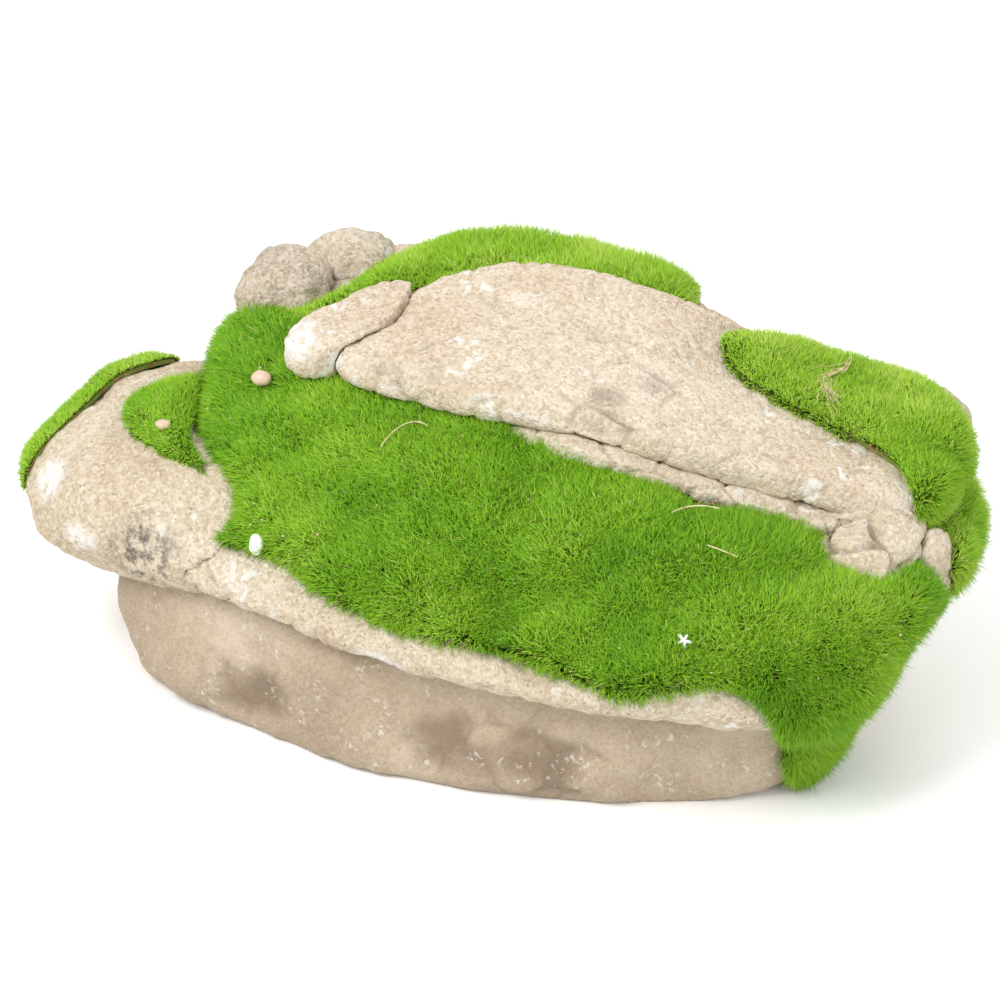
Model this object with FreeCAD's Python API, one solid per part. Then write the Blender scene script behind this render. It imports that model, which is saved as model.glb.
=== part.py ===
"""Resin cave ornament for an aquarium: two hollow castings, glued rocks and flocked moss."""
import FreeCAD, Part
import math
import os

Vec = FreeCAD.Vector

# Overall size in millimetres. The outlines below are drawn for the drawn_ values and stretch with these.
overall_length = 247.0
overall_depth = 136.0
overall_height = 100.0
drawn_length = 247.0
drawn_depth = 136.0
drawn_height = 100.0

# Hollow castings
wall_thickness = 7.0
joint_height = 31.0
joint_slope = -0.05
spigot_height = 5.0
spigot_thickness = 3.5
spigot_inset = 5.0
joint_clearance = 0.4
mouth_width = 62.0
mouth_height = 44.0
mouth_centre_x = -8.0
vent_diameter = 7.0

# Glued rocks
slab_thickness = 10.0
stratum_thickness = 6.0

# Flocked moss
bed_thickness = 1.2
pile_height = 4.8
short_pile_height = 2.8

# Loose trim
strand_diameter = 0.6
pebble_size = 2.2

ring_points = 20
x_scale = overall_length / drawn_length
y_scale = overall_depth / drawn_depth
z_scale = overall_height / drawn_height


def place(x, y, z):
    """A drawn point moved to the overall size."""
    return Vec(x * x_scale, y * y_scale, z * z_scale)


def sag(x):
    """How far the top of the ornament drops towards its right end."""
    over = max(0.0, x - 8.0)
    return 0.0036 * over * over if over < 50.0 else 9.0 + 0.34 * (over - 50.0)


def crest_height(x, y):
    """Height of the top surface of the summit slab, drawn size. It leans back less towards the right."""
    lean = max(0.03, 0.24 - 0.0032 * max(0.0, x)) + 0.0018 * max(0.0, x - 60.0)
    return 87.5 + lean * (y + 13.0) - sag(x)


def joint_level(x):
    """Height of the seam between the castings at a finished x."""
    return (joint_height + joint_slope * x / x_scale) * z_scale


def ring(z, cx, cy, ax, ay, lean=0.0, droop=0.0, slope=0.0, squareness=2.5, rough=0.02):
    """One closed outline: a rounded box with a few lumps, leaning back, drooping or sloping to the right."""
    points = []
    for k in range(ring_points):
        angle = math.pi / 2 + 2 * math.pi * k / ring_points
        c = math.cos(angle)
        s = math.sin(angle)
        lump = 1 + rough * (math.sin(3 * angle + z / 9) + 0.8 * math.sin(7 * angle - z / 5))
        dx = ax * lump * math.copysign(abs(c) ** (2 / squareness), c)
        dy = ay * lump * math.copysign(abs(s) ** (2 / squareness), s)
        level = z + lean * dy - droop * sag(cx + dx) + slope * (cx + dx)
        points.append(place(cx + dx, cy + dy, level))
    return points


def pole(x, y, z):
    """A ring shrunk to one point, closing a stack of rings."""
    return [place(x, y, z)] * ring_points


def skin(rings):
    """One smooth surface through a stack of rings."""
    rows = []
    for points in rings:
        if (points[0] - points[1]).Length < 1e-6:
            rows.append([points[0]] * (ring_points + 1))
            continue
        around = Part.BSplineCurve()
        steps = [float(k) for k in range(ring_points + 1)]
        around.interpolate(Points=points, PeriodicFlag=True, Parameters=steps)
        rows.append(around.getPoles())
        around_knots = around.getKnots()
        around_mults = around.getMultiplicities()
    grid = []
    for column in range(ring_points + 1):
        up = Part.BSplineCurve()
        steps = [float(k) for k in range(len(rings))]
        up.interpolate(Points=[row[column] for row in rows], Parameters=steps)
        grid.append(up.getPoles())
    surface = Part.BSplineSurface()
    surface.buildFromPolesMultsKnots(grid, around_mults, up.getMultiplicities(), around_knots,
                                     up.getKnots(), True, False, 3, 3)
    return surface


def solid(rings):
    """A closed solid through a stack of rings, with flat ends where the ends are not poles."""
    surface = skin(rings)
    faces = [surface.toShape()]
    for end, row in ((0, rings[0]), (len(rings) - 1, rings[-1])):
        if (row[0] - row[1]).Length > 1e-6:
            faces.append(Part.Face(Part.Wire([surface.vIso(float(end)).toShape()])))
    shell = Part.makeShell(faces)
    if len(faces) > 1:
        shell.sewShape()
    body = Part.makeSolid(shell)
    if body.Volume < 0:
        body.reverse()
    return body


def swell(rings, distance):
    """The same stack of rings pushed outwards by a distance, or inwards when it is negative."""
    surface = skin(rings)
    middle = Vec(0, 0, 0)
    for points in rings:
        middle = middle + points[0] * (0.5 / len(rings)) + points[ring_points // 2] * (0.5 / len(rings))
    pushed = []
    for level, points in enumerate(rings):
        if (points[0] - points[1]).Length < 1e-6:
            upward = 1.0 if level else -1.0
            pushed.append([points[0] + Vec(0, 0, upward * distance)] * ring_points)
            continue
        left = points[ring_points // 4]
        right = points[3 * ring_points // 4]
        slope = (right.z - left.z) / (right.x - left.x)
        row = []
        for k, point in enumerate(points):
            normal = surface.normal(float(k), float(level))
            if normal.dot(point - middle) < 0:
                normal = normal * -1
            if level in (0, len(rings) - 1):
                normal = Vec(normal.x, normal.y, 0)
                normal.normalize()
                normal.z = slope * normal.x
            row.append(point + normal * distance)
        pushed.append(row)
    return pushed


def largest(shape):
    """The biggest solid of a result, as its own closed solid."""
    return max(shape.Solids, key=lambda one: one.Volume)


def stone(cx, cy, cz, ax, ay, az, lean=0.0, squareness=2.4, rough=0.05):
    """Rings of a separate boulder about its centre."""
    rings = [pole(cx, cy, cz - az)]
    for level, width in ((-0.78, 0.62), (-0.35, 0.95), (0.1, 1.0), (0.55, 0.84), (0.85, 0.5)):
        rings.append(ring(cz + level * az, cx, cy, ax * width, ay * width, lean=lean,
                          squareness=squareness, rough=rough))
    rings.append(pole(cx, cy, cz + az))
    return rings


def plate(outline, thickness, top, edge=2.2):
    """A slab of rock: an outline in plan, its top on the surface given by top, rounded edges."""
    count = len(outline)
    cx = sum(point[0] for point in outline) / count
    cy = sum(point[1] for point in outline) / count
    closed = Part.BSplineCurve()
    steps = [float(k) for k in range(count + 1)]
    closed.interpolate(Points=[Vec(x, y, 0) for x, y in outline], PeriodicFlag=True, Parameters=steps)
    around = [closed.value(count * k / ring_points) for k in range(ring_points)]
    rings = [pole(cx, cy, top(cx, cy) - thickness)]
    for depth, inset in ((1.0, 0.45), (0.93, 0.86), (0.62, 1.0), (0.2, 0.985), (0.0, 0.9), (0.0, 0.5)):
        row = []
        for point in around:
            x = cx + (point.x - cx) * inset
            y = cy + (point.y - cy) * inset
            drop = depth * thickness + (0.15 * edge if inset == 0.9 else 0.0)
            row.append(place(x, y, top(x, y) - drop))
        rings.append(row)
    rings.append(pole(cx, cy, top(cx, cy) + 0.1))
    return rings


def prism(outline, origin, across, up, near, far):
    """A straight block over a freehand outline drawn on a plane through the origin."""
    across_dir = Vec(*across)
    across_dir.normalize()
    normal = across_dir.cross(Vec(*up))
    normal.normalize()
    up_dir = normal.cross(across_dir)
    points = []
    for u, v in outline:
        flat = Vec(*origin) + across_dir * u + up_dir * v
        points.append(place(flat.x, flat.y, flat.z))
    curve = Part.BSplineCurve()
    curve.interpolate(Points=points, PeriodicFlag=True)
    face = Part.Face(Part.Wire([curve.toShape()]))
    face.translate(normal * near)
    return face.extrude(normal * (far - near))


def strand(points, diameter):
    """A round thread of an even thickness along a smooth path."""
    path = Part.BSplineCurve()
    path.interpolate(Points=[place(*point) for point in points])
    spine = Part.Wire([path.toShape()])
    start = path.value(path.FirstParameter)
    direction = path.tangent(path.FirstParameter)[0]
    section = Part.Wire([Part.makeCircle(diameter / 2, start, direction)])
    return spine.makePipeShell([section], True, False)


def pebble(x, y, z, ax, ay, az):
    """A small rounded stone."""
    ball = Part.makeSphere(1.0)
    matrix = FreeCAD.Matrix()
    matrix.scale(ax, ay, az)
    ball = ball.transformGeometry(matrix)
    ball.translate(place(x, y, z))
    return ball


# Rings of the two castings and the boulder, bottom to top.
base_rings = [
    ring(0.0, -4, 2, 94, 56.5),
    ring(8.0, -5, 1, 98, 59),
    ring(joint_height - 12.0, -3, 2, 98, 58),
    ring(joint_height, 3, 4, 97, 56.5, slope=joint_slope),
]
upper_rings = [
    ring(joint_height, 3, 4, 97.5, 57, slope=joint_slope),
    ring(joint_height + 5.0, 6.5, 2, 100.5, 63, slope=0.9 * joint_slope),
    ring(joint_height + 12.0, 8, 3, 101, 60.5, slope=0.6 * joint_slope, squareness=2.7),
    ring(53.0, 13, 10, 100.5, 55, lean=0.02, droop=0.25, slope=0.2 * joint_slope, squareness=3.1),
    ring(64.5, 13, 17, 97, 49, lean=0.05, droop=0.5, squareness=3.1),
    ring(75.5, 4.5, 24, 85.5, 41, lean=0.1, droop=0.9, squareness=2.9),
    ring(83.0, -6, 30, 69, 33, lean=0.18, droop=1.12),
    ring(87.2, -14, 38, 42, 19, lean=0.17, droop=1.4),
    pole(-18, 41, 90.5),
]
boulder_rings = stone(-80, -6, 44, 44, 42, 22, lean=0.04, squareness=2.7, rough=0.03)

base_body = solid(base_rings)
upper_body = solid(upper_rings)
boulder_body = solid(boulder_rings)

# Hollow inside, joint, cave mouth and vent.
upper_hollow_rings = swell(upper_rings, -wall_thickness)
floor_row = [Vec(p.x, p.y, joint_level(p.x) - 2.0) for p in upper_hollow_rings[0]]
first_row = [Vec(p.x, p.y, joint_level(p.x) + 3.0) for p in upper_hollow_rings[0]]
upper_hollow = solid([floor_row, first_row] + upper_hollow_rings[2:])
base_hollow_rings = swell(base_rings, -wall_thickness)
under_row = [Vec(p.x, p.y, -2.0) for p in base_hollow_rings[0]]
over_row = [Vec(p.x, p.y, joint_level(p.x) + 2.0) for p in base_hollow_rings[-1]]
base_hollow = solid([under_row] + base_hollow_rings[1:-1] + [over_row])


def collar(inset, height):
    """A straight plug over the joint outline, a given inset from the foot of the upper casting."""
    outline = []
    for point in upper_rings[0]:
        outward = Vec(point.x - 3 * x_scale, point.y - 4 * y_scale, 0)
        outward.normalize()
        corner = point - outward * inset
        outline.append(Vec(corner.x, corner.y, joint_level(corner.x)))
    curve = Part.BSplineCurve()
    curve.interpolate(Points=outline, PeriodicFlag=True)
    return Part.Face(Part.Wire([curve.toShape()])).extrude(Vec(0, 0, height))


rebate = collar(spigot_inset, spigot_height)
spigot = collar(spigot_inset + joint_clearance, spigot_height - joint_clearance)
spigot = spigot.cut(collar(spigot_inset + joint_clearance + spigot_thickness, spigot_height))

half = mouth_width / 2
arch_outline = [
    (-half, -0.3 * mouth_height), (-half, 0.25 * mouth_height), (-0.86 * half, 0.62 * mouth_height),
    (-0.45 * half, 0.93 * mouth_height), (0.1 * half, mouth_height), (0.6 * half, 0.86 * mouth_height),
    (0.94 * half, 0.5 * mouth_height), (half, 0.1 * mouth_height), (half, -0.3 * mouth_height),
]
arch = Part.BSplineCurve()
arch.interpolate(Points=[Vec(mouth_centre_x * x_scale + u, 20.0 * y_scale, v) for u, v in arch_outline])
sill = Part.makeLine(arch.value(arch.LastParameter), arch.value(arch.FirstParameter))
mouth = Part.Face(Part.Wire([arch.toShape(), sill])).extrude(Vec(0, overall_depth, 0))
vent = Part.makeCylinder(vent_diameter / 2, 60.0, place(34, 22, 66), Vec(0, 1, 0.15))

base_casting = largest(base_body.cut(base_hollow).fuse(spigot).cut(mouth))
upper_casting = largest(upper_body.cut(upper_hollow).cut(rebate).cut(mouth).cut(vent))

# Outlines of the plates of rock, in plan.
slab_outline = [(-43, -5), (-35, -11), (-20, -13), (0, -13), (20, -12), (40, -10), (60, -5), (80, 3),
                (98, 9), (108, 18), (109, 36), (103, 53), (88, 61), (66, 58), (45, 49), (22, 44), (2, 40),
                (-14, 36), (-28, 27), (-33, 17), (-34, 6)]
wedge_outline = [(-55, -8), (-48, -11), (-41, -6), (-34, 4), (-32, 16), (-34, 23), (-43, 19), (-52, 6)]
stratum_outline = [(6, -12), (28, -15), (50, -12), (70, -6), (86, 0), (101, 12), (92, 26), (60, 20), (22, 10)]


def wedge_top(x, y):
    """The small wedge stands a little proud of the slab."""
    return crest_height(x, y) + 1.2


def stratum_top(x, y):
    """The lower layer starts under the slab."""
    return crest_height(x, y) - slab_thickness + 2.0


slab_rings = plate(slab_outline, slab_thickness, crest_height)
slab_body = solid(slab_rings)
wedge_body = solid(plate(wedge_outline, slab_thickness, wedge_top))
stratum_body = solid(plate(stratum_outline, stratum_thickness, stratum_top))
strata_upper_body = solid(stone(95, 6, 56, 13, 17, 8, lean=0.15, squareness=3.0))
strata_lower_body = solid(stone(100, 5, 44, 12, 15, 8, lean=0.1, squareness=3.0))
chip_body = solid(stone(110, 13, 48, 5, 7, 10, squareness=2.8))
knob_left_body = solid(stone(-72, 30, 81, 13, 14, 14))
knob_right_body = solid(stone(-61, 45, 80, 15, 13, 14))
rear_stone_body = solid(stone(97, 60, 58, 9, 11, 13))

# Each rock is cut by what it is glued against, so the pieces meet face to face.
summit_slab = largest(slab_body.cut(upper_body))
summit_wedge = largest(wedge_body.cut([upper_body, slab_body]))
slab_stratum = largest(stratum_body.cut([upper_body, slab_body]))
strata_upper = largest(strata_upper_body.cut([upper_body, slab_body, stratum_body]))
strata_lower = largest(strata_lower_body.cut([upper_body, strata_upper_body, base_body]))
right_chip = largest(chip_body.cut([upper_body, strata_upper_body, strata_lower_body]))
knob_left = largest(knob_left_body.cut(upper_body))
knob_right = largest(knob_right_body.cut([upper_body, knob_left_body]))
rear_stone = largest(rear_stone_body.cut([upper_body, slab_body]))
left_boulder = largest(boulder_body.cut([upper_body, base_body]))

# Flocked moss: an adhesive bed on the rock, and the pile of fibres standing in it.
slope = (0, 0.707, 0.707)
level = (0, 1, 0)
upright = (0, 0, 1)
front_patch = prism([(-88, 34), (-86, 8), (-73, -13), (-58, -15), (-40, -16), (-27, -21), (-9, -27),
                     (12, -28), (34, -28), (55, -31), (70, -25), (84, -23), (94, -31), (112, -38),
                     (126, -18), (120, 12), (102, 22), (76, 30), (46, 34), (14, 36), (-20, 36),
                     (-50, 38), (-64, 48), (-78, 48)],
                    (0, -35, 62), (1, 0, 0), slope, -40, 30)
ridge_patch = prism([(-98, -14), (-84, -20), (-66, -10), (-58, 8), (-48, 26), (-30, 34), (-12, 40), (6, 44),
                     (20, 46), (32, 50), (31, 58), (14, 72), (-12, 72), (-34, 60), (-50, 36), (-64, 18),
                     (-84, 20), (-98, 12)],
                    (0, 0, 58), (1, 0, 0), level, 0, 60)
tongue_patch = prism([(-98, -14), (-91, -24), (-80, -29), (-60, -30), (-55, -8), (-64, 4), (-80, 4), (-93, -2)],
                     (0, 0, 40), (1, 0, 0), level, 0, 50)
left_patch = prism([(-134, -30), (-122, -27), (-116, -12), (-113, 4), (-106, 16), (-106, 26), (-126, 26),
                    (-136, 4)],
                   (0, 0, 42), (1, 0, 0), level, 0, 50)
right_top_patch = prism([(48, 35), (55, 29), (66, 27), (80, 26), (92, 24), (100, 20), (106, 12), (118, 12),
                         (118, 36), (106, 52), (94, 58), (76, 56), (60, 50), (51, 43)],
                        (0, 0, 60), (1, 0, 0), level, 0, 60)
right_side_patch = prism([(10, 60), (12, 44), (18, 30), (40, 27), (60, 34), (66, 54), (54, 68), (30, 72)],
                         (86, 0, 0), level, upright, 0, 44)
corner_patch = prism([(2, 12), (8, 5), (17, 4), (25, 11), (24, 21), (14, 24.5), (4, 21)],
                     (80, -25, 0), (0.707, 0.707, 0), upright, -12, 45)


def flock(rings, body, patch, neighbours, height=pile_height):
    """The bed and the pile of one moss patch over a stack of rings."""
    lower = solid(swell(rings, bed_thickness))
    upper = solid(swell(rings, bed_thickness + height))
    bed = lower.common(patch)
    for tool in [body] + neighbours:
        bed = bed.cut(tool)
    pile = upper.common(patch)
    for tool in [lower] + neighbours:
        pile = pile.cut(tool)
    return largest(bed), largest(pile)


moss = {}
moss["front"] = flock(upper_rings, upper_body, front_patch,
                      [slab_body, stratum_body, strata_upper_body, strata_lower_body, wedge_body,
                       boulder_body, base_body])
moss["ridge"] = flock(upper_rings, upper_body, ridge_patch.cut(front_patch),
                      [slab_body, wedge_body, knob_left_body, knob_right_body, boulder_body])
moss["tongue"] = flock(boulder_rings, boulder_body, tongue_patch,
                       [upper_body, *moss["front"], *moss["ridge"]], height=short_pile_height)
moss["left"] = flock(boulder_rings, boulder_body, left_patch, [upper_body], height=short_pile_height)
moss["right_top"] = flock(slab_rings, slab_body, right_top_patch,
                          [upper_body, rear_stone_body, stratum_body, strata_upper_body])
moss["right_side"] = flock(upper_rings, upper_body, right_side_patch,
                           [slab_body, stratum_body, rear_stone_body, strata_upper_body,
                            strata_lower_body, chip_body, *moss["right_top"]])
moss["corner"] = flock(base_rings, base_body, corner_patch, [upper_body])

# Loose trim caught in the moss, lying as high as the pile is thick.
moss_depth = (bed_thickness + pile_height) / z_scale
short_moss_depth = (bed_thickness + short_pile_height) / z_scale
trim = {
    "white_pebble": pebble(-46, -47.5, 46.8 + moss_depth,
                           0.9 * pebble_size, 0.75 * pebble_size, 1.3 * pebble_size),
    "pink_pebble": pebble(-61, -11.5, 72.8 + moss_depth,
                          1.2 * pebble_size, pebble_size, 0.9 * pebble_size),
    "tongue_pebble": pebble(-84, -23, 62.5 + short_moss_depth,
                            0.9 * pebble_size, 0.8 * pebble_size, 0.6 * pebble_size),
    "petal_scrap": pebble(66.5, -48.8, 46.2 + moss_depth,
                          pebble_size, 0.35 * pebble_size, 0.8 * pebble_size),
}
root_plan = [(77, 49), (77, 43), (73, 38), (75, 33), (79, 27)]
strands = {
    "root_tuft": [(x, y, crest_height(x, y) + 0.6) for x, y in root_plan],
    "dry_strand_left": [(-21.5, -25.5, 68), (-20, -21, 70.6), (-17, -18, 72.2), (-12, -18, 72.2)],
    "dry_strand_front": [(64.3, -26.6, 59.7), (68, -26.6, 59), (71.8, -26, 57.7)],
    "dry_strand_right": [(53.5, -22, 63.8), (57.8, -17.5, 64.2), (63.3, -14.5, 63)],
}
for name, points in strands.items():
    trim[name] = strand([(x, y, z + moss_depth) for x, y, z in points], strand_diameter)

nodes = {
    "base_casting": base_casting, "upper_casting": upper_casting, "left_boulder": left_boulder,
    "summit_slab": summit_slab, "summit_wedge": summit_wedge, "slab_stratum": slab_stratum,
    "right_strata_upper": strata_upper, "right_strata_lower": strata_lower, "right_chip": right_chip,
    "rear_knob_left": knob_left, "rear_knob_right": knob_right, "rear_right_stone": rear_stone,
}
for name, (bed, pile) in moss.items():
    nodes[name + "_moss_bed"] = bed
    nodes[name + "_moss_pile"] = largest(pile.cut(list(trim.values())))
nodes.update(trim)

# The origin is the middle of the overall box, on the surface that the ornament stands on.
overall = Part.makeCompound(list(nodes.values())).optimalBoundingBox(True, False)
to_origin = Vec(-overall.Center.x, -overall.Center.y, -overall.ZMin)
print("shift", [round(value, 2) for value in to_origin])
print("overall", [round(value, 1) for value in (overall.XLength, overall.YLength, overall.ZLength)])

os.makedirs("parts", exist_ok=True)
for name, shape in nodes.items():
    shape.translate(to_origin)
    print(name, shape.isValid(), round(shape.Volume / 1000, 2), len(shape.Solids))
    shape.exportStep("parts/" + name + ".step")
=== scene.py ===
import bmesh
import bpy
import math
import numpy as np
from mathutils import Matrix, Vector


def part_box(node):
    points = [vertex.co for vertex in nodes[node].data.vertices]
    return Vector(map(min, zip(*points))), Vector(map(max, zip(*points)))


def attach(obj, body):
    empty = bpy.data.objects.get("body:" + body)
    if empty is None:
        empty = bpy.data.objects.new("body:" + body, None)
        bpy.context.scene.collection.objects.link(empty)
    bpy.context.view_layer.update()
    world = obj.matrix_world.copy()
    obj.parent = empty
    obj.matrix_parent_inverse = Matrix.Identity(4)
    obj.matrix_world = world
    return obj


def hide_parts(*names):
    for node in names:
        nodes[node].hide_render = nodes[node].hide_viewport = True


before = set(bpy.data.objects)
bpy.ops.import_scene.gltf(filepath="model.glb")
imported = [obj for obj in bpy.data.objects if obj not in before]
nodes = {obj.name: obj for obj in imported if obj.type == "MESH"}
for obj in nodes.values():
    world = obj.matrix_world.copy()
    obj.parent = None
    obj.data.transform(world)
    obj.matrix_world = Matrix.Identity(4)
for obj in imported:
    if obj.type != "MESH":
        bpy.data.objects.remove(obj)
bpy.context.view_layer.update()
mm = 0.001
print("frame loaded", len(nodes), "nodes")

# What a user would change, one dictionary per piece or group of pieces. Sizes are in millimetres.
rockLooks = {
    "upper_casting": {"voxel": 1.05, "broad": 1.0, "lumps": 0.9, "chips": 0.7, "fine": 0.25, "seed": 3},
    "left_boulder": {"voxel": 0.8, "broad": 1.3, "lumps": 0.9, "chips": 0.5, "fine": 0.22, "seed": 5},
    "summit_slab": {"voxel": 0.75, "broad": 1.0, "lumps": 0.7, "chips": 0.6, "fine": 0.2, "seed": 7},
    "summit_wedge": {"voxel": 0.5, "broad": 0.8, "lumps": 0.7, "chips": 0.5, "fine": 0.2, "seed": 9},
    "slab_stratum": {"voxel": 0.6, "broad": 0.5, "lumps": 0.7, "chips": 0.9, "fine": 0.25, "seed": 11},
    "right_strata_upper": {"voxel": 0.5, "broad": 1.0, "lumps": 1.2, "chips": 1.2, "fine": 0.25, "seed": 13},
    "right_strata_lower": {"voxel": 0.5, "broad": 1.0, "lumps": 1.2, "chips": 1.2, "fine": 0.25, "seed": 15},
    "right_chip": {"voxel": 0.4, "broad": 0.5, "lumps": 0.5, "chips": 0.5, "fine": 0.2, "seed": 17},
    "rear_knob_left": {"voxel": 0.6, "broad": 1.5, "lumps": 1.2, "chips": 0.5, "fine": 0.2, "seed": 19},
    "rear_knob_right": {"voxel": 0.6, "broad": 1.5, "lumps": 1.2, "chips": 0.5, "fine": 0.2, "seed": 21},
    "rear_right_stone": {"voxel": 0.6, "broad": 1.5, "lumps": 1.0, "chips": 0.5, "fine": 0.2, "seed": 23},
    "base_casting": {"voxel": 1.05, "broad": 2.2, "lumps": 0.9, "chips": 0.4, "fine": 0.1, "seed": 25},
}
mossLooks = {
    "front": {"rock": "upper_casting", "perSquare": 13.5, "length": 6.0,
              "tufts": 8.0, "edge": 0.8, "tone": 0.44, "seed": 31},
    "ridge": {"rock": "upper_casting", "perSquare": 13.5, "length": 5.8,
              "tufts": 9.0, "edge": 0.55, "tone": 0.66, "seed": 33},
    "tongue": {"rock": "left_boulder", "perSquare": 13.5, "length": 4.0,
               "tufts": 7.0, "edge": 0.7, "tone": 0.5, "seed": 35},
    "left": {"rock": "left_boulder", "perSquare": 11.0, "length": 3.8,
             "tufts": 6.0, "edge": 0.5, "tone": 0.55, "seed": 37},
    "right_top": {"rock": "upper_casting", "perSquare": 13.5, "length": 5.6,
                  "tufts": 9.0, "edge": 0.6, "tone": 0.62, "seed": 39},
    "right_side": {"rock": "upper_casting", "perSquare": 13.5, "length": 6.0,
                   "tufts": 9.0, "edge": 0.8, "tone": 0.64, "seed": 41},
    "corner": {"rock": "base_casting", "perSquare": 14.0, "length": 6.5,
               "tufts": 7.0, "edge": 0.9, "tone": 0.5, "seed": 43},
}
fibre = {"width": 0.24, "lean": 0.5, "stray": 0.5, "fan": 0.5, "droop": 0.22, "crossing": 0.12,
         "tuftLean": 0.35, "leanLimit": 1.4, "longShare": 0.012, "strawShare": 0.008, "shoulder": 0.42,
         "perPiece": 48000}
rimSamples = 1200
rimBlock = 8000
# Spots on the rocks: the node, the place as shares of its box, and the spot's half sizes
spots = {
    # Dark grey blotches: painted shadow in thin bands under the casting's front lip and on the slab
    # stratum's front under the slab, and a dark patch on the left boulder's front
    "darkPatchesAndShadow": [("left_boulder", (0.66, 0.05, 0.45), (13, 13, 11)),
                ("upper_casting", (0.19, 0.03, 0.14), (26, 12, 5)),
                ("slab_stratum", (0.5, 0.1, 0.4), (30, 5, 5))],
    "frost": [("summit_wedge", (0.1, 0.1, 0.6), (9, 8, 8)), ("left_boulder", (0.22, 0.2, 0.6), (7, 9, 7)),
              ("left_boulder", (0.4, 0.02, 0.45), (6, 8, 5)), ("summit_slab", (0.95, 0.4, 0.1), (6, 6, 5)),
              ("upper_casting", (0.42, 0.02, 0.12), (9, 9, 4))],
}
thinSpot = {"patch": "front", "place": (0.70, 0.60, 0.72), "half": (13, 6, 7), "bare": 0.8}
grainSet = {"count": 46, "size": 0.55, "seed": 51}
crumbSet = {"count": 30, "size": 0.38, "seed": 53}
tuftSet = {"threads": 26, "points": 16, "thickness": 0.26, "spread": 1.5, "seed": 55}
flakeSet = {"radius": 2.0, "lobes": 5, "thickness": 0.35, "points": 40}
strandSet = {"drawnIn": 0.14, "rough": 0.05}
cameraSet = {"azimuth": 22.0, "elevation": 30.0, "lens": 110.0, "viewWidth": 256.0,
             "aim": (5.6, -5.0, 50.0)}


# Fields that the pieces share
def smoothNoise(points, size, seed):
    # Random values on a cubic lattice of the given size, blended smoothly between its corners
    table = np.random.default_rng(seed).uniform(-1, 1, (32, 32, 32))
    place = points / size + 1600.5
    base = np.floor(place).astype(int)
    part = place - base
    part = part * part * (3 - 2 * part)
    total = np.zeros(len(points))
    for corner in np.ndindex(2, 2, 2):
        weight = np.prod(np.where(corner, part, 1 - part), axis=1)
        index = (base + corner) % 32
        total += weight * table[index[:, 0], index[:, 1], index[:, 2]]
    return total


def cellField(points, size, seed):
    # Distances to the nearest and the second nearest of the jittered points of a cubic lattice
    table = np.random.default_rng(seed).uniform(0, 1, (16, 16, 16, 3))
    place = points / size + 1600.0
    base = np.floor(place).astype(int)
    first = np.full(len(points), 9.0)
    second = np.full(len(points), 9.0)
    for step in np.ndindex(3, 3, 3):
        cell = base + np.array(step) - 1
        index = cell % 16
        gap = np.linalg.norm(cell + table[index[:, 0], index[:, 1], index[:, 2]] - place, axis=1)
        second = np.minimum(second, np.maximum(first, gap))
        first = np.minimum(first, gap)
    return first * size, second * size


def easeBetween(value, low, high):
    part = np.clip((value - low) / (high - low), 0, 1)
    return part * part * (3 - 2 * part)


# Materials
def linearColour(code):
    channels = [int(code[i:i + 2], 16) / 255 for i in (1, 3, 5)]
    return [c / 12.92 if c <= 0.04045 else ((c + 0.055) / 1.055) ** 2.4 for c in channels] + [1.0]


def addNode(tree, kind, settings=None, **inputs):
    node = tree.nodes.new(kind)
    for key, value in (settings or {}).items():
        setattr(node, key, value)
    for key, value in inputs.items():
        name = key.replace("_", " ")
        socket = node.inputs[int(key[1:])] if key[0] == "i" and key[1:].isdigit() else node.inputs[name]
        if isinstance(value, bpy.types.NodeSocket):
            tree.links.new(value, socket)
        else:
            socket.default_value = value
    return node


def addRamp(tree, factor, stops, interpolation="LINEAR"):
    ramp = addNode(tree, "ShaderNodeValToRGB", Fac=factor)
    ramp.color_ramp.interpolation = interpolation
    elements = ramp.color_ramp.elements
    while len(elements) < len(stops):
        elements.new(0.5)
    for element, (position, colour) in zip(elements, stops):
        element.position = position
        element.color = linearColour(colour) if isinstance(colour, str) else [colour] * 3 + [1.0]
    return ramp.outputs["Color"]


def mixColour(tree, factor, first, second, blend="MIX"):
    mix = addNode(tree, "ShaderNodeMix", {"data_type": "RGBA", "blend_type": blend})
    for socket, value in ((mix.inputs[0], factor), (mix.inputs[6], first), (mix.inputs[7], second)):
        if isinstance(value, bpy.types.NodeSocket):
            tree.links.new(value, socket)
        else:
            socket.default_value = value
    return mix.outputs[2]


def mathNode(tree, operation, first, second=0.0):
    return addNode(tree, "ShaderNodeMath", {"operation": operation}, i0=first, i1=second).outputs[0]


def newMaterial(name):
    material = bpy.data.materials.new(name)
    material.use_nodes = True
    tree = material.node_tree
    surface = tree.nodes["Principled BSDF"]
    place = addNode(tree, "ShaderNodeTexCoord").outputs["Object"]
    return material, tree, surface, place


def noiseAt(tree, place, size, detail=3.0, roughness=0.55, distortion=0.0):
    # Noise whose features are the given size in millimetres
    return addNode(tree, "ShaderNodeTexNoise", Vector=place, Scale=1 / (size * mm), Detail=detail,
                   Roughness=roughness, Distortion=distortion).outputs["Fac"]


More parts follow.
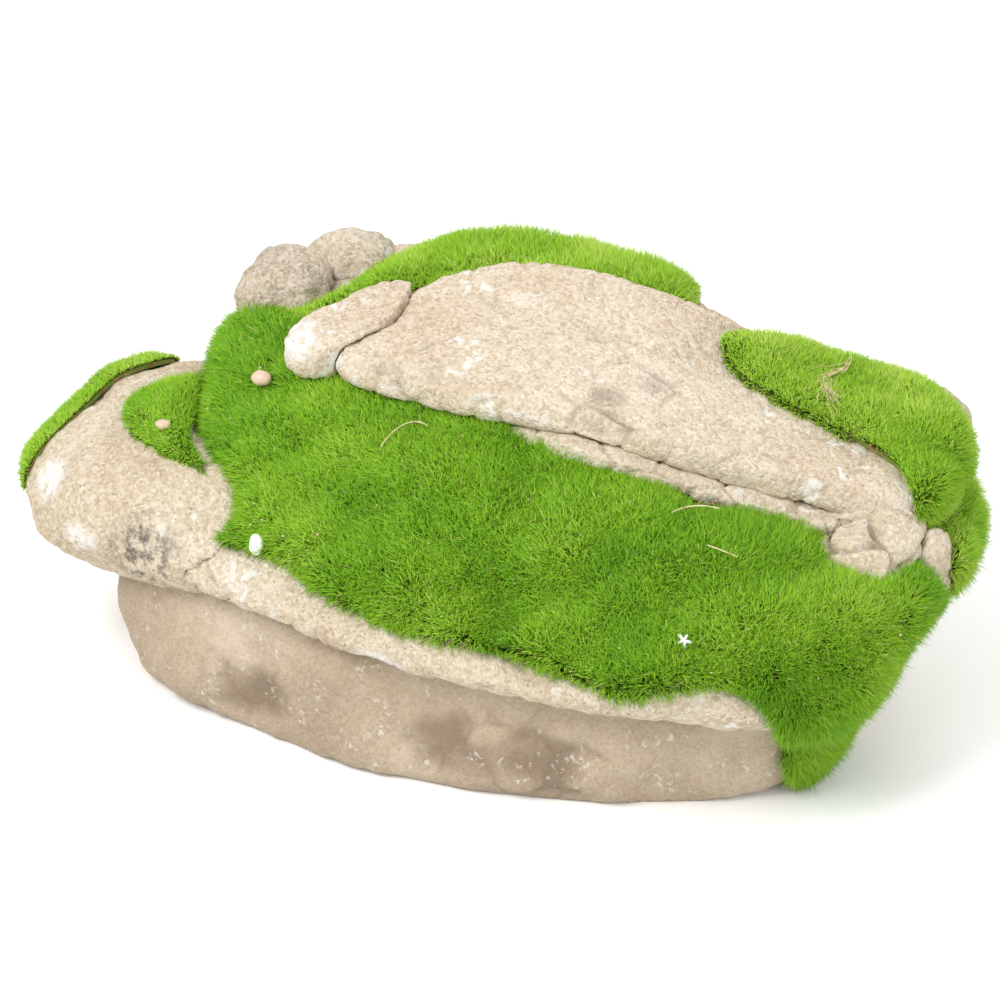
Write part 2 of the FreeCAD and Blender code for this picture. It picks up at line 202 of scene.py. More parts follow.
def stoneMaterial(name, look):
    # Cast polyresin with coloured sand bonded to its face, then washed and dabbed with white, with painted
    # shade in its hollows
    material, tree, surface, place = newMaterial(name)
    broad = noiseAt(tree, place, 34, 4.0)
    colour = addRamp(tree, broad, [(0.32, look["deep"]), (0.5, look["main"]), (0.68, look["pale"])])
    stain = addRamp(tree, noiseAt(tree, place, 9, 5.0), [(0.40, 0.0), (0.70, 1.0)])
    colour = mixColour(tree, mathNode(tree, "MULTIPLY", stain, look["stain"]), colour,
                       linearColour(look["stainColour"]))
    blush = addRamp(tree, noiseAt(tree, place, 8, 4.0, 0.6, 0.5), [(0.62, 0.0), (0.74, 1.0)])
    colour = mixColour(tree, mathNode(tree, "MULTIPLY", blush, look["blush"]), colour,
                       linearColour(look["blushColour"]))
    grains = addNode(tree, "ShaderNodeTexVoronoi", Vector=place, Scale=1 / (look["grain"] * mm))
    pick = addNode(tree, "ShaderNodeSeparateColor", Color=grains.outputs["Color"]).outputs[0]
    grainColour = addRamp(tree, pick, [(0.0, "#75624d"), (0.1, "#978269"), (0.35, "#b8a68d"),
                                       (0.62, "#cbbda7"), (0.86, "#d9d0c2"), (1.0, "#e6e1d8")])
    colour = mixColour(tree, look["grainMix"], colour, grainColour)
    # Painted shade: the hollows of the displaced surface are darkened towards dark brown
    hollowShade = addNode(tree, "ShaderNodeAttribute", {"attribute_name": "hollowShade"}).outputs["Fac"]
    colour = mixColour(tree, mathNode(tree, "MULTIPLY", hollowShade, look["shade"]), colour,
                       linearColour(look["hollowShadeColour"]))
    dabs = mathNode(tree, "MULTIPLY",
                    addRamp(tree, noiseAt(tree, place, look["dab"], 6.0, 0.65, 0.4),
                            [(0.56, 0.0), (0.62, 1.0)]),
                    addRamp(tree, noiseAt(tree, place, 5 * look["dab"], 2.0), [(0.50, 0.0), (0.60, 1.0)]))
    frost = addNode(tree, "ShaderNodeAttribute", {"attribute_name": "frost"}).outputs["Fac"]
    frosted = mathNode(tree, "MULTIPLY", frost,
                       addRamp(tree, noiseAt(tree, place, 3, 5.0, 0.6), [(0.36, 0.0), (0.56, 1.0)]))
    white = mathNode(tree, "MAXIMUM", mathNode(tree, "MULTIPLY", dabs, look["white"]), frosted)
    colour = mixColour(tree, white, colour, linearColour("#dfdcd6"))
    # Painted shadow and a dark patch: blotchy dark grey at the spots listed first in the spots table
    darkPatchesAndShadow = addNode(tree, "ShaderNodeAttribute", {"attribute_name": "darkPatchesAndShadow"}).outputs["Fac"]
    darkBlotchesAndShadow = mathNode(tree, "MULTIPLY", darkPatchesAndShadow,
                      addRamp(tree, noiseAt(tree, place, 2.6, 6.0, 0.7), [(0.44, 0.0), (0.60, 0.9)]))
    colour = mixColour(tree, darkBlotchesAndShadow, colour, linearColour("#5f5b51"))
    specks = addRamp(tree, noiseAt(tree, place, 1.3, 2.0, 0.5), [(0.70, 0.0), (0.76, 1.0)])
    colour = mixColour(tree, mathNode(tree, "MULTIPLY", specks, 0.6), colour,
                       linearColour(look["speckColour"]))
    tree.links.new(colour, surface.inputs["Base Color"])
    rough = addRamp(tree, noiseAt(tree, place, 4, 3.0), [(0.3, look["rough"] - 0.1), (0.7, look["rough"])])
    tree.links.new(rough, surface.inputs["Roughness"])
    surface.inputs["Specular IOR Level"].default_value = 0.2
    grainHeight = mathNode(tree, "SUBTRACT", 1.0, grains.outputs["Distance"])
    rounds = addNode(tree, "ShaderNodeBump", Height=grainHeight, Distance=look["bump"] * mm, Strength=0.8)
    pits = addNode(tree, "ShaderNodeBump", Height=noiseAt(tree, place, 2.4, 5.0, 0.7),
                   Distance=look["pits"] * mm, Strength=0.9, Normal=rounds.outputs[0])
    tree.links.new(pits.outputs[0], surface.inputs["Normal"])
    return material


def mossMaterial():
    # Nylon flock: each fibre's tint runs across its colour chart, and painted shade darkens it from tip to
    # root
    material, tree, surface, _ = newMaterial("nylon_flock_moss")
    chart = addNode(tree, "ShaderNodeUVMap", {"uv_map": "OFBake"}).outputs["UV"]
    split = addNode(tree, "ShaderNodeSeparateXYZ", Vector=chart)
    tint = addRamp(tree, split.outputs[0], [(0.0, "#579a0e"), (0.3, "#78b615"), (0.55, "#96cc1f"),
                                            (0.8, "#b7de3d"), (0.94, "#d3ea74"), (1.0, "#cfc08c")])
    # Painted shade: colour falls to a small share at the root, where the pile shades the fibre
    shade = addRamp(tree, split.outputs[1], [(0.0, 0.12), (0.3, 0.42), (0.65, 0.88), (1.0, 1.0)])
    colour = mixColour(tree, 1.0, tint, shade, "MULTIPLY")
    tree.links.new(colour, surface.inputs["Base Color"])
    surface.inputs["Roughness"].default_value = 0.5
    surface.inputs["Specular IOR Level"].default_value = 0.3
    return material


def bedMaterial():
    # Red-brown flocking adhesive with crumbs of sand and loose flock in it
    material, tree, surface, place = newMaterial("flocking_adhesive")
    colour = addRamp(tree, noiseAt(tree, place, 3, 5.0),
                     [(0.3, "#6b4a30"), (0.5, "#96704c"), (0.7, "#bfa27c")])
    green = addRamp(tree, noiseAt(tree, place, 1.6, 4.0), [(0.40, 0.0), (0.50, 1.0)])
    colour = mixColour(tree, mathNode(tree, "MULTIPLY", green, 0.85), colour, linearColour("#5f8a24"))
    tree.links.new(colour, surface.inputs["Base Color"])
    surface.inputs["Roughness"].default_value = 0.75
    bump = addNode(tree, "ShaderNodeBump", Height=noiseAt(tree, place, 1.0, 5.0), Distance=0.5 * mm)
    tree.links.new(bump.outputs[0], surface.inputs["Normal"])
    return material


def pebbleMaterial(name, light, dark):
    # Small quartz pebble, tumbled smooth, with faint veins
    material, tree, surface, place = newMaterial(name)
    colour = addRamp(tree, noiseAt(tree, place, 2.0, 6.0, 0.6, 0.8),
                     [(0.4, light), (0.62, light), (0.7, dark)])
    tree.links.new(colour, surface.inputs["Base Color"])
    surface.inputs["Roughness"].default_value = 0.4
    bump = addNode(tree, "ShaderNodeBump", Height=noiseAt(tree, place, 0.8, 4.0), Distance=0.1 * mm)
    tree.links.new(bump.outputs[0], surface.inputs["Normal"])
    return material


def strawMaterial():
    # Dried plant fibre, streaked along its length and split
    material, tree, surface, place = newMaterial("dried_plant_fibre")
    colour = addRamp(tree, noiseAt(tree, place, 1.6, 5.0),
                     [(0.3, "#a08a5c"), (0.5, "#cdbc8f"), (0.75, "#e8dfc0")])
    tree.links.new(colour, surface.inputs["Base Color"])
    surface.inputs["Roughness"].default_value = 0.7
    bump = addNode(tree, "ShaderNodeBump", Height=noiseAt(tree, place, 0.4, 3.0), Distance=0.08 * mm)
    tree.links.new(bump.outputs[0], surface.inputs["Normal"])
    return material


def grainMaterial():
    # Crumbs of fired clay and sand stuck in the flock
    material, tree, surface, place = newMaterial("fired_clay_grains")
    colour = addRamp(tree, noiseAt(tree, place, 1.5, 3.0),
                     [(0.35, "#8f4526"), (0.5, "#b5683c"), (0.65, "#c98d5e")])
    tree.links.new(colour, surface.inputs["Base Color"])
    surface.inputs["Roughness"].default_value = 0.8
    bump = addNode(tree, "ShaderNodeBump", Height=noiseAt(tree, place, 0.3, 3.0), Distance=0.06 * mm)
    tree.links.new(bump.outputs[0], surface.inputs["Normal"])
    return material


# In these looks the colour for the hollows and its strength paint shade into the stone's hollows
sandLook = {"deep": "#b5a288", "main": "#c6b89f", "pale": "#d3c7b2", "stain": 0.3, "stainColour": "#a8937a",
            "blush": 0.35, "blushColour": "#c09a86", "grain": 0.75, "grainMix": 0.36, "shade": 0.7,
            "hollowShadeColour": "#6a5846", "dab": 6.0, "white": 0.8, "speckColour": "#55483a", "rough": 0.92,
            "bump": 0.3, "pits": 0.55}
slabLook = dict(sandLook, deep="#bfab93", main="#cbbca6", pale="#d6cab7", stain=0.24, blush=0.2, dab=5.0)
brownLook = dict(sandLook, deep="#9a8873", main="#ab9a83", pale="#bbab96", stain=0.4, stainColour="#87755f",
                 blush=0.4, blushColour="#a8855f", grain=0.6, grainMix=0.14, dab=1.8, white=0.5,
                 speckColour="#96552f", bump=0.12, pits=0.4, rough=0.72)
greyLook = dict(sandLook, deep="#a4978a", main="#b9ab97", pale="#cbbfad", stain=0.45, stainColour="#8c8272")
materials = {
    "sand": stoneMaterial("sanded_polyresin", sandLook),
    "slab": stoneMaterial("sanded_polyresin_slab", slabLook),
    "brown": stoneMaterial("washed_brown_polyresin", brownLook),
    "grey": stoneMaterial("weathered_polyresin", greyLook),
    "moss": mossMaterial(),
    "bed": bedMaterial(),
    "white": pebbleMaterial("white_quartz_pebble", "#f5f3ee", "#cfc9bd"),
    "pink": pebbleMaterial("pink_quartz_pebble", "#cdb29a", "#b3846c"),
    "straw": strawMaterial(),
    "grains": grainMaterial(),
}
rockMaterial = {name: "sand" for name in rockLooks}
rockMaterial.update({"summit_slab": "slab", "summit_wedge": "slab", "slab_stratum": "slab",
                     "base_casting": "brown", "rear_knob_left": "grey", "rear_knob_right": "grey",
                     "rear_right_stone": "grey"})
print("materials made", len(materials))


# Meshes
def addObject(name, mesh, material, replaced):
    piece = bpy.data.objects.new(name, mesh)
    bpy.context.scene.collection.objects.link(piece)
    mesh.materials.clear()
    mesh.materials.append(material)
    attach(piece, "root")
    if replaced:
        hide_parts(*replaced)
    return piece


def meshArrays(mesh):
    points = np.zeros(len(mesh.vertices) * 3, np.float32)
    mesh.vertices.foreach_get("co", points)
    normals = np.zeros(len(mesh.vertices) * 3, np.float32)
    mesh.vertices.foreach_get("normal", normals)
    return points.reshape(-1, 3).astype(float) / mm, normals.reshape(-1, 3).astype(float)


def mergedCopy(node):
    # A CAD node's mesh is loose triangles, so a copy of it is merged first
    work = bmesh.new()
    work.from_mesh(nodes[node].data)
    bmesh.ops.remove_doubles(work, verts=work.verts, dist=0.01 * mm)
    mesh = bpy.data.meshes.new(node + "_merged")
    work.to_mesh(mesh)
    work.free()
    return mesh


def evenMesh(node, voxel):
    # The node's shape in even small faces
    mesh = mergedCopy(node)
    helper = bpy.data.objects.new("helper", mesh)
    bpy.context.scene.collection.objects.link(helper)
    remesh = helper.modifiers.new("even", "REMESH")
    remesh.mode = "VOXEL"
    remesh.voxel_size = voxel * mm
    relax = helper.modifiers.new("relax", "SMOOTH")
    relax.factor = 0.5
    relax.iterations = 2
    view = bpy.context.evaluated_depsgraph_get()
    even = bpy.data.meshes.new_from_object(helper.evaluated_get(view))
    bpy.data.objects.remove(helper)
    bpy.data.meshes.remove(mesh)
    return even


def rockHeight(points, normals, look):
    # Broad swells, lumps, chipped cells, bedding lines on the steep faces and fine grit
    seed = look["seed"]
    height = look["broad"] * smoothNoise(points, 26.0, seed)
    height += look["lumps"] * smoothNoise(points, 10.0, seed + 1)
    height += 0.5 * look["lumps"] * smoothNoise(points, 4.5, seed + 2)
    near, far = cellField(points + 2.0 * smoothNoise(points, 8.0, seed + 3)[:, None], 15.0, seed + 4)
    height -= look["chips"] * (1 - easeBetween(far - near, 0.0, 1.6))
    steep = 1 - easeBetween(np.abs(normals[:, 2]), 0.45, 0.8)
    bedding = points[:, 2] + 0.25 * points[:, 0] + 2.0 * smoothNoise(points, 20.0, seed + 5)
    layers = smoothNoise(np.stack([points[:, 0] * 0.12, points[:, 1] * 0.12, bedding], 1), 2.6, seed + 6)
    height += look["chips"] * 0.6 * steep * layers
    height += look["fine"] * smoothNoise(points, 1.9, seed + 7)
    return height


def shareOf(node, share):
    # A place given as shares of a node's box
    low, high = [np.array(corner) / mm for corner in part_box(node)]
    return low + (high - low) * np.array(share)


def spotField(points, places):
    # One inside each spot's ellipsoid, fading to nothing around it
    field = np.zeros(len(points))
    for node, share, half in places:
        gap = np.linalg.norm((points - shareOf(node, share)) / np.array(half), axis=1)
        field = np.maximum(field, 1 - easeBetween(gap, 0.4, 1.2))
    return field


def buildRock(node, look):
    mesh = evenMesh(node, look["voxel"])
    points, normals = meshArrays(mesh)
    height = rockHeight(points, normals, look)
    moved = points + normals * height[:, None]
    nearFloor = np.maximum(0.0, points[:, 2] + (moved - points)[:, 2] * easeBetween(points[:, 2], 0.2, 3.0))
    moved[:, 2] = np.where(points[:, 2] < 3.0, nearFloor, moved[:, 2])
    mesh.vertices.foreach_set("co", (moved * mm).astype(np.float32).ravel())
    # Painted shade mask: the deeper a point sits in the displacement's hollows, the more painted shade it
    # gets
    hollowShade = mesh.attributes.new("hollowShade", "FLOAT", "POINT")
    hollowShade.data.foreach_set("value", easeBetween(-height, 0.5, 2.4).astype(np.float32))
    for name, places in spots.items():
        spread = mesh.attributes.new(name, "FLOAT", "POINT")
        spread.data.foreach_set("value", spotField(points, places).astype(np.float32))
    mesh.shade_smooth()
    addObject(node + "_stone", mesh, materials[rockMaterial[node]], [node])
    return len(mesh.polygons)


for node, look in rockLooks.items():
    print("rock", node, buildRock(node, look), "faces")


def trianglesOf(mesh):
    mesh.calc_loop_triangles()
    corners = np.zeros(len(mesh.loop_triangles) * 3, np.int32)
    mesh.loop_triangles.foreach_get("vertices", corners)
    return meshArrays(mesh)[0], corners.reshape(-1, 3)


def rimPoints(points, corners, normal, rng):
    # Points along the edges where two neighbouring triangles meet at a sharp angle
    pairs = np.sort(np.concatenate([corners[:, [0, 1]], corners[:, [1, 2]], corners[:, [2, 0]]]), axis=1)
    owner = np.tile(np.arange(len(corners)), 3)
    order = np.lexsort((pairs[:, 1], pairs[:, 0]))
    pairs = pairs[order]
    owner = owner[order]
    same = np.nonzero((pairs[1:] == pairs[:-1]).all(axis=1))[0]
    sharp = same[np.einsum("ij,ij->i", normal[owner[same]], normal[owner[same + 1]]) < 0.5]
    start = points[pairs[sharp, 0]]
    step = points[pairs[sharp, 1]] - start
    length = np.linalg.norm(step, axis=1)
    chosen = rng.choice(len(sharp), rimSamples, p=length / length.sum())
    return start[chosen] + rng.random((rimSamples, 1)) * step[chosen]


def nearestRim(roots, rim):
    # The distance to the nearest rim point and the way to it, in blocks of roots
    gaps = np.zeros(len(roots))
    ways = np.zeros((len(roots), 3))
    for first in range(0, len(roots), rimBlock):
        block = roots[first:first + rimBlock]
        square = (block ** 2).sum(1)[:, None] + (rim ** 2).sum(1)[None] - 2 * block @ rim.T
        nearest = square.argmin(axis=1)
        ways[first:first + rimBlock] = rim[nearest] - block
        gaps[first:first + rimBlock] = np.sqrt(np.maximum(square[np.arange(len(block)), nearest], 0))
    return gaps, ways / np.maximum(gaps[:, None], 0.05)


def samplePatch(bedName, rockName, perSquare, rng):
    # Even random roots over the faces of the bed that look away from the rock's middle
    mesh = mergedCopy(bedName)
    points, corners = trianglesOf(mesh)
    bpy.data.meshes.remove(mesh)
    a, b, c = (points[corners[:, k]] for k in range(3))
    cross = np.cross(b - a, c - a)
    size = np.linalg.norm(cross, axis=1)
    normal = cross / np.maximum(size[:, None], 1e-9)
    low, high = [np.array(corner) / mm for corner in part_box(rockName)]
    middle = (low + high) / 2
    reach = np.maximum((high - low) / 2 - 45, 0)
    centre = (a + b + c) / 3
    core = middle + np.clip(centre - middle, -reach, reach)
    core[:, 2] = low[2] + 0.3 * (high[2] - low[2])
    outward = np.einsum("ij,ij->i", normal, centre - core) / np.linalg.norm(centre - core, axis=1)
    weight = np.where(outward > -0.2, size / 2, 0)
    count = int(weight.sum() * perSquare)
    chosen = rng.choice(len(size), count, p=weight / weight.sum())
    u = rng.random(count)
    v = rng.random(count)
    fold = u + v > 1
    u = np.where(fold, 1 - u, u)
    v = np.where(fold, 1 - v, v)
    roots = a[chosen] + u[:, None] * (b - a)[chosen] + v[:, None] * (c - a)[chosen]
    return roots, normal[chosen], rimPoints(points, corners, normal, rng)


def unit(vectors):
    return vectors / np.maximum(np.linalg.norm(vectors, axis=-1, keepdims=True), 1e-9)


def meshFrom(name, points, faces, corners):
    # One mesh from many copies of a small shape, given as whole arrays
    loops = (faces[None] + points.shape[1] * np.arange(len(points))[:, None, None]).reshape(-1)
    mesh = bpy.data.meshes.new(name)
    mesh.vertices.add(points.shape[0] * points.shape[1])
    mesh.vertices.foreach_set("co", (points * mm).astype(np.float32).ravel())
    mesh.loops.add(len(loops))
    mesh.loops.foreach_set("vertex_index", loops.astype(np.int32))
    mesh.polygons.add(len(loops) // corners)
    mesh.polygons.foreach_set("loop_start", np.arange(0, len(loops), corners, dtype=np.int32))
    mesh.update(calc_edges=True)
    mesh.shade_smooth()
    return mesh


def fibreMesh(name, roots, tips, widths, tints, rng):
    # Each fibre is a thin closed blade: root, tip and two shoulders bowed out of the line between them
    along = unit(tips - roots)
    side = unit(np.cross(along, rng.normal(size=roots.shape)))
    bow = np.cross(along, side)
    bend = widths * rng.uniform(0.6, 1.3, len(roots))
    middle = roots + fibre["shoulder"] * (tips - roots) + bow * bend[:, None]
    half = side * widths[:, None] / 2
    points = np.stack([roots, middle - half, middle + half, tips], 1)
    turn = np.einsum("ij,ij->i", points[:, 1] - roots, np.cross(points[:, 2] - roots, tips - roots))
    points[turn < 0] = points[turn < 0][:, [0, 2, 1, 3]]
    mesh = meshFrom(name, points, np.array([[0, 2, 1], [0, 1, 3], [1, 2, 3], [0, 3, 2]]), 3)
    chart = mesh.uv_layers.new(name="OFBake")
    # The chart's second coordinate runs from root to tip and carries the painted shade along the fibre
    rise = np.array([[0.02, 0.42, 0.42], [0.02, 0.42, 0.98], [0.42, 0.42, 0.98], [0.02, 0.98, 0.42]])
    spread = np.array([[0, -0.004, 0.004], [0, 0.004, 0], [0.004, -0.004, 0], [0, 0, -0.004]])
    uv = np.zeros((len(roots), 4, 3, 2))
    uv[..., 0] = np.clip(tints[:, None, None] + spread, 0.005, 0.995)
    uv[..., 1] = rise
    chart.data.foreach_set("uv", uv.astype(np.float32).ravel())
    return mesh


def buildMoss(patch, look):
    rng = np.random.default_rng(look["seed"])
    roots, normals, rim = samplePatch(patch + "_moss_bed", look["rock"], look["perSquare"], rng)
    if patch == thinSpot["patch"]:
        centre = shareOf(patch + "_moss_bed", thinSpot["place"])
        gap = np.linalg.norm((roots - centre) / np.array(thinSpot["half"]), axis=1)
        thin = 1 - easeBetween(gap, 0.4, 1.2)
        kept = rng.random(len(roots)) > thinSpot["bare"] * thin
        roots, normals, thin = roots[kept], normals[kept], thin[kept]
    else:
        thin = np.zeros(len(roots))
    count = len(roots)
    tufts = roots[rng.choice(count, max(4, int(count / look["perSquare"] / look["tufts"] ** 2)))]
    nearest = np.full(count, 1e9)
    away = np.zeros((count, 3))
    for tuft in tufts:
        gap = np.linalg.norm(roots - tuft, axis=1)
        closer = gap < nearest
        nearest = np.where(closer, gap, nearest)
        away = np.where(closer[:, None], roots - tuft, away)
    rimGap, rimWay = nearestRim(roots, rim)
    drift = np.stack([smoothNoise(roots, 12.0, look["seed"] + k) for k in (1, 2, 3)], 1)
    swirl = np.stack([smoothNoise(roots, 3.5, look["seed"] + k) for k in (7, 8, 9)], 1)
    lean = fibre["tuftLean"] * away / look["tufts"] + fibre["lean"] * (drift + swirl)
    lean += fibre["stray"] * rng.normal(size=(count, 3))
    lean += fibre["fan"] * rimWay * (1 - easeBetween(rimGap, 0.0, 4.0))[:, None]
    crossing = rng.random(count) < fibre["crossing"]
    lean += np.where(crossing[:, None], rng.normal(size=(count, 3)), 0)
    lean[:, 2] -= fibre["droop"] * (1 - normals[:, 2])
    lean -= normals * np.einsum("ij,ij->i", lean, normals)[:, None]
    steps = np.linalg.norm(lean, axis=1, keepdims=True)
    lean *= np.minimum(1, fibre["leanLimit"] / np.maximum(steps, 1e-9))
    height = look["length"] * (1.0 - 0.2 * np.clip(nearest / look["tufts"], 0, 1.2) ** 2)
    height *= look["edge"] + (1 - look["edge"]) * easeBetween(rimGap, 0.0, 7.0)
    uneven = 1 + 0.15 * smoothNoise(roots, 6.0, look["seed"] + 5) + 0.12 * rng.normal(size=count)
    height *= (1 - 0.5 * thin) * uneven
    height *= np.where(rng.random(count) < fibre["longShare"], 1.3, 1.0)
    tips = roots + unit(normals + lean) * height[:, None] + lean * 0.1 * height[:, None]
    tips[:, 2] = np.maximum(tips[:, 2], 0.3)
    tints = look["tone"] + 0.2 * smoothNoise(roots, 11.0, look["seed"] + 6) + 0.15 * rng.normal(size=count)
    tints = np.where(crossing, tints + 0.22, tints) - 0.1 * thin
    tints = np.where(rng.random(count) < fibre["strawShare"], 0.99, np.clip(tints, 0.01, 0.93))
    widths = fibre["width"] * rng.uniform(0.75, 1.2, count)
    order = rng.permutation(count)
    pieces = math.ceil(count / fibre["perPiece"])
    for k in range(pieces):
        part = order[k::pieces]
        name = f"{patch}_moss_fibres_{k + 1}"
        mesh = fibreMesh(name, roots[part], tips[part], widths[part], tints[part], rng)
        addObject(name, mesh, materials["moss"], [patch + "_moss_pile"] if k == 0 else [])
    bed = nodes[patch + "_moss_bed"]
    bed.data.materials.clear()
    bed.data.materials.append(materials["bed"])
    return count


for patch, look in mossLooks.items():
    print("moss", patch, buildMoss(patch, look), "fibres")


# Loose trim
def icosahedron():
    golden = (1 + 5 ** 0.5) / 2
    corners = np.array([[-1, golden, 0], [1, golden, 0], [-1, -golden, 0], [1, -golden, 0],
                        [0, -1, golden], [0, 1, golden], [0, -1, -golden], [0, 1, -golden],
                        [golden, 0, -1], [golden, 0, 1], [-golden, 0, -1], [-golden, 0, 1]])
    corners /= (1 + golden ** 2) ** 0.5
    faces = np.array([[0, 11, 5], [0, 5, 1], [0, 1, 7], [0, 7, 10], [0, 10, 11], [1, 5, 9], [5, 11, 4],
                      [11, 10, 2], [10, 7, 6], [7, 1, 8], [3, 9, 4], [3, 4, 2], [3, 2, 6], [3, 6, 8],
                      [3, 8, 9], [4, 9, 5], [2, 4, 11], [6, 2, 10], [8, 6, 7], [9, 8, 1]])
    return corners, faces


def buildGrains(name, centres, size, material, rng):
    # Lumpy twenty-sided grains, each stretched its own way
    corners, faces = icosahedron()
    count = len(centres)
    stretch = size * rng.uniform(0.6, 1.3, (count, 1, 3)) * rng.uniform(0.85, 1.15, (count, 12, 1))
    mesh = meshFrom(name, centres[:, None] + corners[None] * stretch, faces, 3)
    addObject(name, mesh, material, [])


def scatterGrains():
    rng = np.random.default_rng(grainSet["seed"])
    roots, normals, _ = samplePatch("front_moss_bed", "upper_casting", 4.0, rng)
    centre = shareOf("front_moss_bed", thinSpot["place"])
    gap = np.linalg.norm((roots - centre) / (1.15 * np.array(thinSpot["half"])), axis=1)
    inside = np.nonzero((gap < 1) & (normals[:, 2] > 0.2))[0]
    chosen = rng.choice(inside, min(grainSet["count"], len(inside)), replace=False)
    lift = rng.uniform(0.3, 2.2, (len(chosen), 1))
    centres = roots[chosen] + normals[chosen] * lift
    buildGrains("clay_grains", centres, grainSet["size"], materials["grains"], rng)
    rng = np.random.default_rng(crumbSet["seed"])
    chosen = rng.choice(np.nonzero(normals[:, 2] > 0.2)[0], crumbSet["count"], replace=False)
    lift = rng.uniform(2.5, 4.8, (len(chosen), 1))
    centres = roots[chosen] + normals[chosen] * lift
    buildGrains("sand_crumbs", centres, crumbSet["size"], materials["pink"], rng)


def threadMesh(name, paths, radii, rng):
    # Round threads: a four-sided ring carried along each path, thinner towards its closed ends
    count, steps = paths.shape[:2]
    along = unit(np.gradient(paths, axis=1))
    side = unit(np.cross(along, rng.normal(size=(count, 1, 3))))
    other = np.cross(along, side)
    taper = np.interp(np.linspace(0, 1, steps), [0, 0.15, 0.7, 1], [0.5, 1, 0.8, 0.3])
    reach = (radii[:, None] * taper[None])[..., None]
    turns = [k * math.pi / 2 for k in range(4)]
    rings = [paths + reach * (math.cos(turn) * side + math.sin(turn) * other) for turn in turns]
    points = np.stack(rings, 2).reshape(count, steps * 4, 3)
    first = 4 * np.arange(steps - 1)[:, None] + np.arange(4)[None]
    after = 4 * np.arange(steps - 1)[:, None] + (np.arange(4)[None] + 1) % 4
    walls = np.stack([first, after, after + 4, first + 4], 2).reshape(-1, 4)
    last = 4 * (steps - 1)
    faces = np.concatenate([walls, [[0, 3, 2, 1], [last, last + 1, last + 2, last + 3]]])
    return meshFrom(name, points, faces, 4)


def buildTuft():
    # Torn root: fine threads that leave a crooked main line at different places and wander off it
    rng = np.random.default_rng(tuftSet["seed"])
    low, high = [np.array(corner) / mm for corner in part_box("root_tuft")]
    mainX = low[0] + (high[0] - low[0]) * np.array([0.67, 0.67, 0.0, 0.33, 1.0])
    mainY = low[1] + (high[1] - low[1]) * np.array([1.0, 0.73, 0.5, 0.27, 0.0])
    mainAt = np.linspace(0, 1, 5)
    count, steps = tuftSet["threads"], tuftSet["points"]
    begin = rng.uniform(0, 0.65, (count, 1))
    at = begin + (1 - begin) * rng.uniform(0.4, 1.0, (count, 1)) * np.linspace(0, 1, steps)[None]
    paths = np.zeros((count, steps, 3))
    paths[..., 0] = np.interp(at, mainAt, mainX)
    paths[..., 1] = np.interp(at, mainAt, mainY)
    paths[..., 2] = low[2] + (high[2] - low[2]) * (paths[..., 1] - low[1]) / (high[1] - low[1])
    wander = np.cumsum(rng.normal(size=(count, steps, 3)) * [1, 1, 0.25], axis=1) / steps ** 0.5
    paths += tuftSet["spread"] * wander * np.linspace(0.3, 1.6, steps)[None, :, None]
    radii = tuftSet["thickness"] / 2 * rng.uniform(0.6, 1.3, count)
    mesh = threadMesh("root_threads", paths, radii, rng)
    addObject("root_threads", mesh, materials["straw"], ["root_tuft"])


def buildFlake():
    # A torn dry petal: a flat lobed outline, thickest in the middle, facing up and forward
    count = flakeSet["points"]
    angle = 2 * math.pi * np.arange(count) / count
    lobed = 0.66 + 0.34 * np.cos(flakeSet["lobes"] * angle) + 0.12 * np.cos(2 * angle + 1)
    reach = flakeSet["radius"] * lobed
    side = np.array([1.0, 0.0, 0.0])
    upward = unit(np.array([0.0, 0.62, 0.78]))
    facing = np.cross(side, upward)
    centre = shareOf("petal_scrap", (0.5, 0.5, 0.5))
    rim = centre + reach[:, None] * (np.cos(angle)[:, None] * side + np.sin(angle)[:, None] * upward)
    half = flakeSet["thickness"] / 2
    points = np.concatenate([rim, [centre + half * facing, centre - half * facing]])
    ring = np.arange(count)
    after = (ring + 1) % count
    front = np.stack([ring, after, np.full(count, count)], 1)
    back = np.stack([after, ring, np.full(count, count + 1)], 1)
    mesh = meshFrom("petal_flake", points[None], np.concatenate([front, back]), 3)
    addObject("petal_flake", mesh, materials["white"], ["petal_scrap"])


def buildPebble(node, material, seed):
    # A quartz chip: the node's rounded form with worn facets
    mesh = evenMesh(node, 0.22)
    points, normals = meshArrays(mesh)
    worn = 0.3 * smoothNoise(points, 2.6, seed) + 0.1 * smoothNoise(points, 0.9, seed)
    moved = points + normals * worn[:, None]
    mesh.vertices.foreach_set("co", (moved * mm).astype(np.float32).ravel())
    mesh.shade_smooth()
    addObject(node + "_chip", mesh, materials[material], [node])


def buildStrand(node):
    # A dry fibre: the node's round thread drawn in along its normals, unevenly
    mesh = mergedCopy(node)
    points, normals = meshArrays(mesh)
    inward = strandSet["drawnIn"] + strandSet["rough"] * smoothNoise(points, 1.5, 71)
    mesh.vertices.foreach_set("co", ((points - normals * inward[:, None]) * mm).astype(np.float32).ravel())
    mesh.shade_smooth()
    addObject(node + "_thread", mesh, materials["straw"], [node])


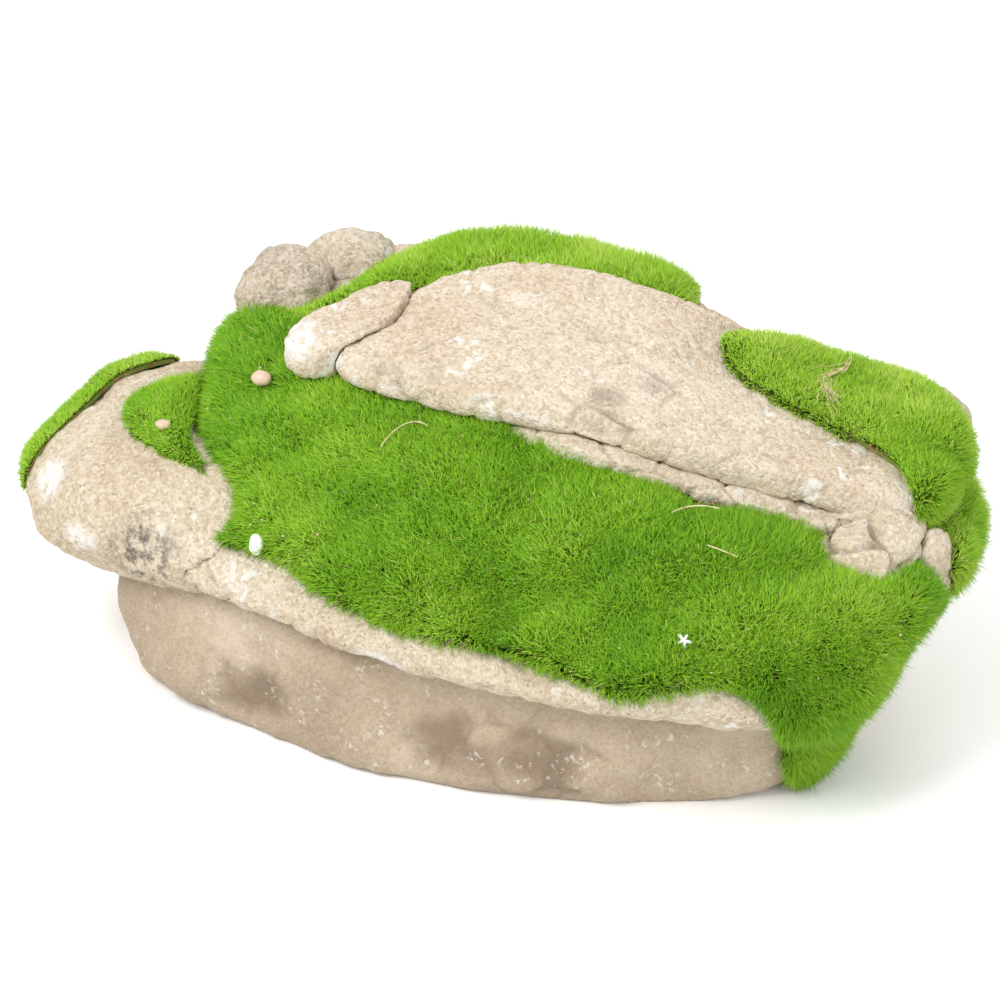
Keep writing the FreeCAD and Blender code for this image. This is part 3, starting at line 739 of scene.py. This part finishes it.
scatterGrains()
buildTuft()
buildFlake()
buildPebble("white_pebble", "white", 61)
buildPebble("pink_pebble", "pink", 63)
buildPebble("tongue_pebble", "pink", 65)
for node in ("dry_strand_left", "dry_strand_front", "dry_strand_right"):
    buildStrand(node)
print("loose trim made")


# Studio
def addStudio():
    bpy.ops.mesh.primitive_plane_add(size=8.0, location=(0, 0, 0))
    floor = bpy.context.object
    floor.name = "studio_floor"
    material, tree, surface, place = newMaterial("matte_white_backdrop")
    colour = addRamp(tree, noiseAt(tree, place, 400, 2.0), [(0.3, "#f6f6f5"), (0.7, "#fafaf9")])
    tree.links.new(colour, surface.inputs["Base Color"])
    surface.inputs["Roughness"].default_value = 0.9
    floor.data.materials.append(material)
    world = bpy.data.worlds.new("studio_world")
    bpy.context.scene.world = world
    world.use_nodes = True
    world.node_tree.nodes["Background"].inputs["Color"].default_value = (1, 1, 1, 1)
    world.node_tree.nodes["Background"].inputs["Strength"].default_value = 0.75
    for name, place, size, power in (("key", (-0.55, -0.75, 1.1), 0.7, 14),
                                     ("fill", (0.9, -0.6, 0.7), 0.9, 5),
                                     ("rear", (0.2, 0.9, 0.9), 0.8, 6)):
        lamp = bpy.data.lights.new(name, "AREA")
        lamp.size = size
        lamp.energy = power
        holder = bpy.data.objects.new(name, lamp)
        holder.location = place
        holder.rotation_euler = (Vector((0, 0, 0.04)) - Vector(place)).to_track_quat("-Z", "Y").to_euler()
        bpy.context.scene.collection.objects.link(holder)


def addCamera(settings):
    azimuth = math.radians(settings["azimuth"])
    elevation = math.radians(settings["elevation"])
    back = Vector((math.sin(azimuth) * math.cos(elevation), -math.cos(azimuth) * math.cos(elevation),
                   math.sin(elevation)))
    camera = bpy.data.cameras.new("camera")
    camera.lens = settings["lens"]
    camera.sensor_width = 36.0
    distance = settings["lens"] * settings["viewWidth"] / camera.sensor_width
    holder = bpy.data.objects.new("camera", camera)
    holder.location = (Vector(settings["aim"]) + back * distance) * mm
    holder.rotation_euler = (-back).to_track_quat("-Z", "Y").to_euler()
    bpy.context.scene.collection.objects.link(holder)
    bpy.context.scene.camera = holder


addStudio()
addCamera(cameraSet)
bpy.context.scene.view_settings.view_transform = "Standard"
print("scene ready")
